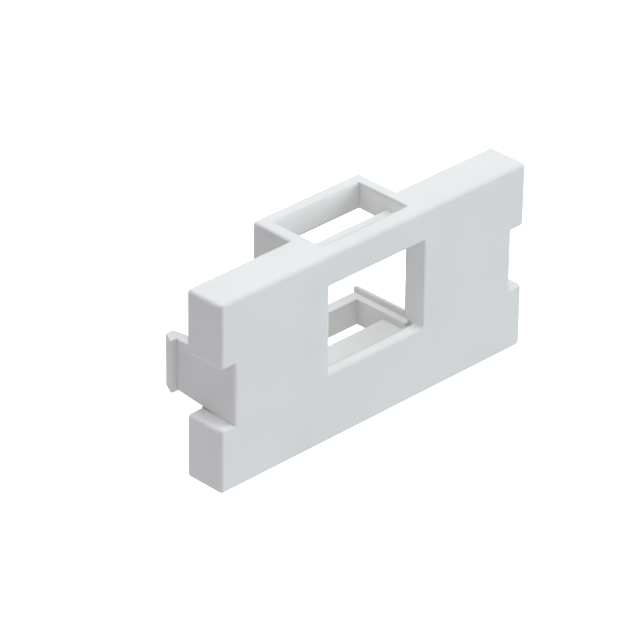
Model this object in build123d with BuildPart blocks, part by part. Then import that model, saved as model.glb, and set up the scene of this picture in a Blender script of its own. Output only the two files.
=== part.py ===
from build123d import *
import os
from math import radians, tan

os.makedirs("parts", exist_ok=True)

# One moulded faceplate for a snap-in jack: a shallow tray that stands on its long
# edge, a jack opening, a holder of two loops behind it and a snap arm at each end.
# Millimetres. X runs along the plate, the front face looks along -Y, +Z is up, and
# the origin is at the middle of the footprint. A depth is counted from the front
# face towards the back, and a level from the plate's lower edge upwards.

# Plate
plate_width = 50.0
plate_height = 25.0
plate_depth = 5.65
front_wall = 2.95
skirt_wall = 1.5
front_edge_radius = 0.4
corner_margin = 0.1
rim_edge_radius = 0.35

# Notch in the middle of each short end
notch_depth = 2.1
notch_height = 8.0

# Jack opening
opening_width = 15.6
opening_height = 11.8
opening_edge_radius = 0.2
opening_corner_radius = 0.4
sill_level = 9.1
sill_depth = 1.45
floor_drop = 0.8
ledge_depth = 2.1

# Jack holder, two loops whose side walls draw in towards the back
holder_width = 17.4
holder_depth = 11.8
holder_draft_angle = 0.5
holder_edge_radius = 0.15
loop_side_radius = 0.3
slot_width = 14.1
bar_thickness = 1.7
upper_bar_height = 3.4
lower_bar_height = 3.4
roof_thickness = 2.15
slot_skin = 2.15
rib_height = 0.65
rib_thickness = 0.5

# Snap arms
arm_thickness = 1.4
arm_tip_thickness = 1.0
arm_tip_height = 6.9
arm_depth = 11.5
arm_edge_radius = 0.2
barb_length = 1.95
barb_reach = 1.0
barb_nose_radius = 0.2

# Places worked out from the sizes
front_y = -holder_depth / 2
wall_y = front_y + front_wall
back_y = front_y + plate_depth
rear_y = front_y + holder_depth
tip_y = front_y + arm_depth
shoulder_y = tip_y - barb_length
bar_y = rear_y - bar_thickness
middle_level = plate_height / 2
corner_radius = front_edge_radius + corner_margin
opening_top = sill_level + opening_height
roof_level = opening_top + roof_thickness
floor_level = sill_level - floor_drop
lower_loop_level = sill_level - lower_bar_height
upper_loop_level = plate_height - upper_bar_height
arm_face_x = plate_width / 2 - notch_depth


def front_plane(depth):
    """Upright plane at a depth behind the front face. Its normal looks forward."""
    return Plane.XZ.offset(-(front_y + depth))


def holder_plan(level, inset=0.0, end_y=rear_y):
    """The holder seen from above, from the front wall to end_y, sides set in by inset."""
    slope = tan(radians(holder_draft_angle))
    wall_x = holder_width / 2 - inset + (back_y - wall_y) * slope
    end_x = holder_width / 2 - inset - (end_y - back_y) * slope
    with BuildSketch(Plane.XY.offset(level)) as plan:
        with BuildLine():
            Polyline((-wall_x, wall_y), (wall_x, wall_y), (end_x, end_y), (-end_x, end_y), close=True)
        make_face()
    return plan.sketch


def holder_loop(level, height, outward):
    """A block of the holder's plan, the sides of its outward face and its rear edges rounded."""
    with BuildPart() as loop:
        extrude(holder_plan(level), amount=height)
        outward_edges = loop.faces().sort_by(outward)[-1].edges().sort_by(Axis.X)
        fillet((outward_edges[0], outward_edges[-1]), loop_side_radius)
        fillet(loop.faces().sort_by(Axis.Y)[-1].edges(), holder_edge_radius)
    return loop.part


def slot_plan(level, near_y, far_y, width=slot_width):
    """A rectangle from near_y to far_y, as wide as the slot between the holder's side walls."""
    with BuildSketch(Plane.XY.offset(level)) as plan:
        with Locations((0, (near_y + far_y) / 2)):
            Rectangle(width, far_y - near_y)
    return plan.sketch


lower_loop = holder_loop(lower_loop_level, lower_bar_height, -Axis.Z)
upper_loop = holder_loop(upper_loop_level, upper_bar_height, Axis.Z)

# Snap arm at the right-hand end: a bar as high as the notch at its root, lower at its end
with BuildPart() as arm_bar:
    with BuildSketch(Plane.YZ.offset(arm_face_x)):
        with BuildLine():
            Polyline(
                (wall_y, middle_level - notch_height / 2),
                (shoulder_y, middle_level - arm_tip_height / 2),
                (shoulder_y, middle_level + arm_tip_height / 2),
                (wall_y, middle_level + notch_height / 2),
                close=True,
            )
        make_face()
    extrude(amount=-arm_thickness)
    outer_edges = arm_bar.faces().sort_by(Axis.X)[-1].edges()
    fillet(outer_edges.filter_by(Axis.Z, reverse=True), arm_edge_radius)

# Its barbed head: the plan, then the corners of its end seen from the side
with BuildPart() as arm_head:
    with BuildSketch() as head_plan:
        with BuildLine():
            Polyline(
                (arm_face_x - arm_thickness, shoulder_y),
                (arm_face_x + barb_reach, shoulder_y),
                (arm_face_x, tip_y),
                (arm_face_x - arm_tip_thickness, tip_y),
                close=True,
            )
        make_face()
        fillet(head_plan.vertices().sort_by(Axis.X)[-1], barb_nose_radius)
        fillet(head_plan.vertices().group_by(Axis.Y)[-1], arm_edge_radius)
    extrude(amount=plate_height)
    with BuildSketch(Plane.YZ) as head_side:
        with Locations(((wall_y + tip_y) / 2, middle_level)):
            Rectangle(tip_y - wall_y, arm_tip_height)
        fillet(head_side.vertices().group_by(Axis.X)[-1], arm_edge_radius)
    extrude(amount=plate_width, mode=Mode.INTERSECT)

with BuildPart() as faceplate:
    # Plate with its end notches, edges broken front and back
    with BuildSketch(front_plane(0)) as outline:
        with Locations((0, middle_level)):
            Rectangle(plate_width, plate_height)
        with Locations((-plate_width / 2, middle_level), (plate_width / 2, middle_level)):
            Rectangle(2 * notch_depth, notch_height, mode=Mode.SUBTRACT)
        outer_corners = outline.vertices().group_by(Axis.X)
        fillet(outer_corners[0] + outer_corners[-1], corner_radius)
    extrude(amount=-plate_depth)
    fillet(faceplate.faces().sort_by(Axis.Y)[0].edges(), front_edge_radius)
    fillet(faceplate.faces().sort_by(Axis.Y)[-1].edges(), rim_edge_radius)

    # Hollow back, open to the notches behind the front wall
    with BuildSketch(front_plane(front_wall)):
        offset(outline.sketch, amount=-skirt_wall, kind=Kind.INTERSECTION)
        with Locations((-arm_face_x, middle_level), (arm_face_x, middle_level)):
            Rectangle(2 * skirt_wall, notch_height)
    extrude(amount=-(plate_depth - front_wall), mode=Mode.SUBTRACT)

    # Jack opening, its lower corners rounded
    with BuildSketch(front_plane(0)) as opening:
        with Locations((0, sill_level + opening_height / 2)):
            Rectangle(opening_width, opening_height)
        fillet(opening.vertices().group_by(Axis.Y)[0], opening_corner_radius)
    extrude(amount=-front_wall, mode=Mode.SUBTRACT)
    fillet(faceplate.faces().sort_by(Axis.Y)[0].inner_wires().edges(), opening_edge_radius)

    # Loops and roof of the jack holder
    add(lower_loop)
    add(upper_loop)
    extrude(holder_plan(opening_top, end_y=back_y), amount=roof_thickness)

    # Windows between the plate and the bars, and the latch slot over the roof
    extrude(slot_plan(lower_loop_level, back_y, bar_y), amount=plate_height, mode=Mode.SUBTRACT)
    extrude(slot_plan(roof_level, front_y + slot_skin, back_y), amount=plate_height, mode=Mode.SUBTRACT)

    # Floor behind the sill, first a groove as wide as the opening, then between two ledges
    sill_y = front_y + sill_depth
    ledge_y = front_y + ledge_depth
    groove_height = floor_drop + opening_corner_radius
    extrude(slot_plan(floor_level, sill_y, ledge_y, opening_width), amount=groove_height, mode=Mode.SUBTRACT)
    extrude(slot_plan(floor_level, ledge_y, back_y), amount=floor_drop, mode=Mode.SUBTRACT)

    # Guide ribs along the lower loop's side walls, the left-hand one up to the upper loop
    with BuildSketch(Plane.XY.offset(sill_level)) as ribs:
        add(holder_plan(sill_level))
        fillet(ribs.vertices().group_by(Axis.Y)[-1], holder_edge_radius)
        add(holder_plan(sill_level, inset=rib_thickness), mode=Mode.SUBTRACT)
    extrude(amount=rib_height)
    extrude(ribs.sketch.faces().sort_by(Axis.X)[0], amount=upper_loop_level - sill_level)

    # Snap arms
    add(arm_bar.part)
    add(arm_head.part)
    mirror(arm_bar.part, about=Plane.YZ)
    mirror(arm_head.part, about=Plane.YZ)

faceplate.part.label = "keystone_faceplate"
export_step(faceplate.part, "parts/keystone_faceplate.step")
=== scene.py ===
import math

import bpy
from mathutils import Matrix, Vector

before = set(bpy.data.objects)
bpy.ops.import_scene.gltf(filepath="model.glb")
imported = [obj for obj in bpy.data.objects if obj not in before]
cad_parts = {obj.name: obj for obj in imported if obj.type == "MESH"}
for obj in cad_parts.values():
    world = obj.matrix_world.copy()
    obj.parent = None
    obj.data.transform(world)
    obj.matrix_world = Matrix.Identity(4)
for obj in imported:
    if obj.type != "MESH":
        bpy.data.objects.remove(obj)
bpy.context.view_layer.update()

# Metres and degrees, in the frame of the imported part: X along the plate, the front
# face towards -Y, +Z up, the part standing on its long edge at Z = 0.
FRONT_CENTRE = Vector((0.0, -0.0059, 0.0125))

# The camera looks at the front from its left and from above, through a long lens.
AZIMUTH = -44.9261
ELEVATION = 30.1036
ROLL = 0.7023
DISTANCE = 0.533234
ASIDE = -0.006575
ABOVE = 0.000724
SENSOR = 36.0
LENS = 256.508
CLIP_START = 0.01
CLIP_END = 20.0

# Studio: square soft lamps round the part and under the pale floor, which lets their light
# through. Each has its direction from the middle of the front, distance, size, power, tint.
LAMPS = {
    "overhead_lamp": ((0.0, -0.18, 1.0), 0.7, 0.2, 0.74, (0.87, 0.955, 1.0)),
    "left_lamp": ((-1.0, 0.0, 0.3), 0.7, 0.5, 0.47, (1.0, 0.87, 0.96)),
    "high_left_lamp": ((-0.5, -0.75, 0.8), 0.7, 0.4, 0.38, (0.65, 0.84, 1.0)),
    "front_right_lamp": ((0.7, -0.7, 0.35), 0.7, 0.5, 1.91, (0.90, 0.97, 1.0)),
    "right_lamp": ((1.0, -0.55, 0.35), 0.7, 0.5, 1.64, (0.91, 0.98, 1.0)),
    "back_lamp": ((0.0, 0.7, 0.75), 0.7, 0.5, 2.72, (0.97, 0.99, 1.0)),
    "under_lamp": ((0.0, 0.0, -1.0), 0.4, 0.6, 1.02, (0.99, 0.99, 1.0)),
    "low_left_lamp": ((-1.0, -0.5, -0.6), 0.10, 0.08, 0.0111, (0.94, 0.94, 1.0)),
}
SURROUND_COLOUR = (0.90, 0.94, 1.0, 1.0)
SURROUND_LEVEL = 0.293
FLOOR_SIZE = 16.0
FLOOR_DROP = 0.00002
FLOOR_COLOUR = (0.93, 0.93, 0.93, 1.0)
FLOOR_GLOW_COLOUR = (1.0, 1.0, 1.0, 1.0)
FLOOR_GLOW = 1.0
FLOOR_ROUGHNESS = 0.9
FLOOR_SPECULAR = 0.1

# Plastic, its colours
BODY_DARK = (0.84, 0.825, 0.80, 1.0)
BODY_LIGHT = (0.87, 0.855, 0.83, 1.0)
# Painted shade, multiplied into the colour in inner corners
CREVICE_SHADE_TINT = (0.80, 0.79, 0.78, 1.0)
# Painted highlight, laid over the colour on the edges
EDGE_HIGHLIGHT_TINT = (0.90, 0.905, 0.91, 1.0)

# How many features each of its noises has to a millimetre, and how fine they are
MM_PER_METRE = 1000.0
CLOUD_PER_MM = 0.11
SPECK_PER_MM = 5.0
EDGE_PATCH_PER_MM = 1.2
SATIN_PER_MM = 1.6
GRAIN_PER_MM = 9.0
SINK_PER_MM = 0.16
PLAIN_DETAIL = 2.0
FINE_DETAIL = 3.0
SMOOTH_DETAIL = 1.0

# Spans that values are read over, and the shares and roughness that they become
NARROW_SPAN = (0.35, 0.65)
WIDE_SPAN = (0.30, 0.70)
SPECK_SHARE = (0.0, 0.25)
EDGE_PATCH_SHARE = (0.2, 0.7)
SATIN_ROUGHNESS = (0.50, 0.60)
WORN_ROUGHNESS_CHANGE = -0.12
FULL_SHARE = (0.0, 1.0)

# Edges and corners, found by short rays. Reaches and bump heights are in metres.
RAY_SAMPLES = 8
EDGE_REACH = 0.0005
EDGE_SPAN = (0.90, 0.995)
EDGE_SHARE = (1.0, 0.0)
# Painted shade in inner corners: the rays' reach, and the span and share of darkening
CREVICE_REACH = 0.0015
CREVICE_SPAN = (0.45, 1.0)
CREVICE_SHARE = (0.45, 0.0)
GRAIN_STRENGTH = 0.25
GRAIN_HEIGHT = 0.00001
SINK_STRENGTH = 0.4
SINK_HEIGHT = 0.00006
PLASTIC_IOR = 1.53

# Places of the colour mix node's sockets
MIX_SHARE, MIX_FIRST, MIX_SECOND, MIX_RESULT = 0, 6, 7, 2


def joined(tree, kind, inputs=(), **settings):
    """A node of that kind with its settings, each input given as a value or an output to link."""
    node = tree.nodes.new(kind)
    for name, value in settings.items():
        setattr(node, name, value)
    for key, value in dict(inputs).items():
        socket = node.inputs[key]
        if isinstance(value, bpy.types.NodeSocket):
            tree.links.new(value, socket)
        else:
            socket.default_value = value
    return node


def noise(tree, place, per_mm, detail=PLAIN_DETAIL):
    """Noise with that many features to a millimetre, from about 0.3 to 0.7."""
    return joined(
        tree, "ShaderNodeTexNoise",
        {"Vector": place, "Scale": per_mm, "Detail": detail},
    ).outputs[0]


def spread(tree, value, span, result):
    """Value taken from one range to another, each (low, high), and held within it."""
    return joined(
        tree, "ShaderNodeMapRange",
        {
            "Value": value,
            "From Min": span[0], "From Max": span[1],
            "To Min": result[0], "To Max": result[1],
        },
    ).outputs[0]


def mixed(tree, share, first, second, blend="MIX"):
    """The first colour, with the second over it by share."""
    return joined(
        tree, "ShaderNodeMix",
        {MIX_SHARE: share, MIX_FIRST: first, MIX_SECOND: second},
        data_type="RGBA", blend_type=blend,
    ).outputs[MIX_RESULT]


def bumped(tree, height, strength, distance, normal):
    """The normal, bumped by the height."""
    return joined(
        tree, "ShaderNodeBump",
        {"Height": height, "Strength": strength, "Distance": distance, "Normal": normal},
    ).outputs[0]


def edge_mask(tree, rounded):
    """1 on an edge and 0 away from it, by how far the rounded normal turns from the true one."""
    normal = joined(tree, "ShaderNodeNewGeometry").outputs["Normal"]
    agreement = joined(
        tree, "ShaderNodeVectorMath", {0: rounded, 1: normal}, operation="DOT_PRODUCT"
    ).outputs["Value"]
    return spread(tree, agreement, EDGE_SPAN, EDGE_SHARE)


def crevice_shade_mask(tree):
    """A share of painted shade in inner corners and 0 in the open, by how much of the surroundings
    is closed off.
    """
    open_share = joined(
        tree, "ShaderNodeAmbientOcclusion", {"Distance": CREVICE_REACH},
        samples=RAY_SAMPLES, only_local=True,
    ).outputs["AO"]
    return spread(tree, open_share, CREVICE_SPAN, CREVICE_SHARE)


def plastic_material():
    """White moulded plastic with a fine satin grain, edges polished and lightened with a painted
    highlight, and painted shade darkening its corners.
    """
    material = bpy.data.materials.new("white_moulded_plastic")
    material.use_nodes = True
    tree = material.node_tree
    tree.nodes.clear()
    place = joined(tree, "ShaderNodeTexCoord").outputs["Object"]
    place = joined(
        tree, "ShaderNodeVectorMath", {0: place, "Scale": MM_PER_METRE}, operation="SCALE"
    ).outputs[0]
    rounded = joined(
        tree, "ShaderNodeBevel", {"Radius": EDGE_REACH}, samples=RAY_SAMPLES
    ).outputs[0]

    # Colour: clouds and specks in the body, painted shade darkening the corners, a painted
    # highlight lightening the edges
    cloud = spread(tree, noise(tree, place, CLOUD_PER_MM), NARROW_SPAN, FULL_SHARE)
    speck = spread(tree, noise(tree, place, SPECK_PER_MM, FINE_DETAIL), WIDE_SPAN, SPECK_SHARE)
    # Patches along the edges, which share out the painted highlight and the smoother roughness
    edge_patches = spread(tree, noise(tree, place, EDGE_PATCH_PER_MM), NARROW_SPAN, EDGE_PATCH_SHARE)
    highlit_polished_edge = joined(
        tree, "ShaderNodeMath", {0: edge_mask(tree, rounded), 1: edge_patches}, operation="MULTIPLY"
    ).outputs[0]
    colour = mixed(tree, cloud, BODY_DARK, BODY_LIGHT)
    colour = mixed(tree, speck, colour, BODY_LIGHT)
    # Painted shade: the colour darkened in inner corners
    colour = mixed(tree, crevice_shade_mask(tree), colour, CREVICE_SHADE_TINT, "MULTIPLY")
    # Painted highlight: the colour lightened on the edges, in patches
    colour = mixed(tree, highlit_polished_edge, colour, EDGE_HIGHLIGHT_TINT)

    # Roughness: an uneven satin, smoother on the patchy edges that also carry the painted highlight
    satin = spread(tree, noise(tree, place, SATIN_PER_MM, FINE_DETAIL), WIDE_SPAN, SATIN_ROUGHNESS)
    satin = joined(
        tree, "ShaderNodeMath",
        {0: highlit_polished_edge, 1: WORN_ROUGHNESS_CHANGE, 2: satin},
        operation="MULTIPLY_ADD",
    ).outputs[0]

    # Normal: softened edges, the mould's fine grain, and a very shallow sink over it
    grain = noise(tree, place, GRAIN_PER_MM, FINE_DETAIL)
    sink = noise(tree, place, SINK_PER_MM, SMOOTH_DETAIL)
    relief = bumped(tree, grain, GRAIN_STRENGTH, GRAIN_HEIGHT, rounded)
    relief = bumped(tree, sink, SINK_STRENGTH, SINK_HEIGHT, relief)

    shader = joined(
        tree, "ShaderNodeBsdfPrincipled",
        {"Base Color": colour, "Roughness": satin, "Normal": relief, "IOR": PLASTIC_IOR},
    ).outputs[0]
    joined(tree, "ShaderNodeOutputMaterial", {"Surface": shader})
    return material


def add_floor():
    """A wide pale floor. It is the picture's ground, and throws no light or shade on the part."""
    half = FLOOR_SIZE / 2
    mesh = bpy.data.meshes.new("floor")
    corners = [(-half, -half), (half, -half), (half, half), (-half, half)]
    mesh.from_pydata([(x, y, -FLOOR_DROP) for x, y in corners], [], [(0, 1, 2, 3)])
    floor = bpy.data.objects.new("floor", mesh)
    bpy.context.scene.collection.objects.link(floor)
    material = bpy.data.materials.new("pale_floor")
    material.use_nodes = True
    shader = material.node_tree.nodes["Principled BSDF"]
    shader.inputs["Base Color"].default_value = FLOOR_COLOUR
    shader.inputs["Roughness"].default_value = FLOOR_ROUGHNESS
    shader.inputs["Specular IOR Level"].default_value = FLOOR_SPECULAR
    shader.inputs["Emission Color"].default_value = FLOOR_GLOW_COLOUR
    shader.inputs["Emission Strength"].default_value = FLOOR_GLOW
    mesh.materials.append(material)
    floor.visible_diffuse = False
    floor.visible_glossy = False
    floor.visible_shadow = False


def add_light(name, direction, distance, size, power, colour):
    """A square soft light that faces the middle of the front from a direction."""
    light = bpy.data.lights.new(name, "AREA")
    light.size = size
    light.energy = power
    light.color = colour
    lamp = bpy.data.objects.new(name, light)
    direction = Vector(direction).normalized()
    lamp.location = FRONT_CENTRE + direction * distance
    lamp.rotation_mode = "QUATERNION"
    lamp.rotation_quaternion = (-direction).to_track_quat("-Z", "Y")
    bpy.context.scene.collection.objects.link(lamp)


def add_camera():
    """The camera, turned about the middle of the front and then moved aside in its own plane."""
    azimuth, elevation, roll = (math.radians(a) for a in (AZIMUTH, ELEVATION, ROLL))
    back = Vector((
        math.sin(azimuth) * math.cos(elevation),
        -math.cos(azimuth) * math.cos(elevation),
        math.sin(elevation),
    ))
    level = Vector((0.0, 0.0, 1.0)).cross(back).normalized()
    upright = back.cross(level)
    right = level * math.cos(roll) + upright * math.sin(roll)
    up = back.cross(right)
    data = bpy.data.cameras.new("camera")
    data.sensor_width = SENSOR
    data.lens = LENS
    data.clip_start = CLIP_START
    data.clip_end = CLIP_END
    camera = bpy.data.objects.new("camera", data)
    turned = Matrix((right, up, back)).transposed().to_4x4()
    place = FRONT_CENTRE + right * ASIDE + up * ABOVE + back * DISTANCE
    camera.matrix_world = Matrix.Translation(place) @ turned
    bpy.context.scene.collection.objects.link(camera)
    bpy.context.scene.camera = camera


def add_surround():
    """An even pale surround, slightly blue."""
    world = bpy.data.worlds.new("surround")
    world.use_nodes = True
    background = world.node_tree.nodes["Background"]
    background.inputs["Color"].default_value = SURROUND_COLOUR
    background.inputs["Strength"].default_value = SURROUND_LEVEL
    bpy.context.scene.world = world


bpy.context.scene.view_settings.view_transform = "Standard"
add_camera()
add_surround()
for lamp_name, lamp_settings in LAMPS.items():
    add_light(lamp_name, *lamp_settings)
add_floor()

plastic = plastic_material()
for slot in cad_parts["keystone_faceplate"].material_slots:
    slot.material = plastic
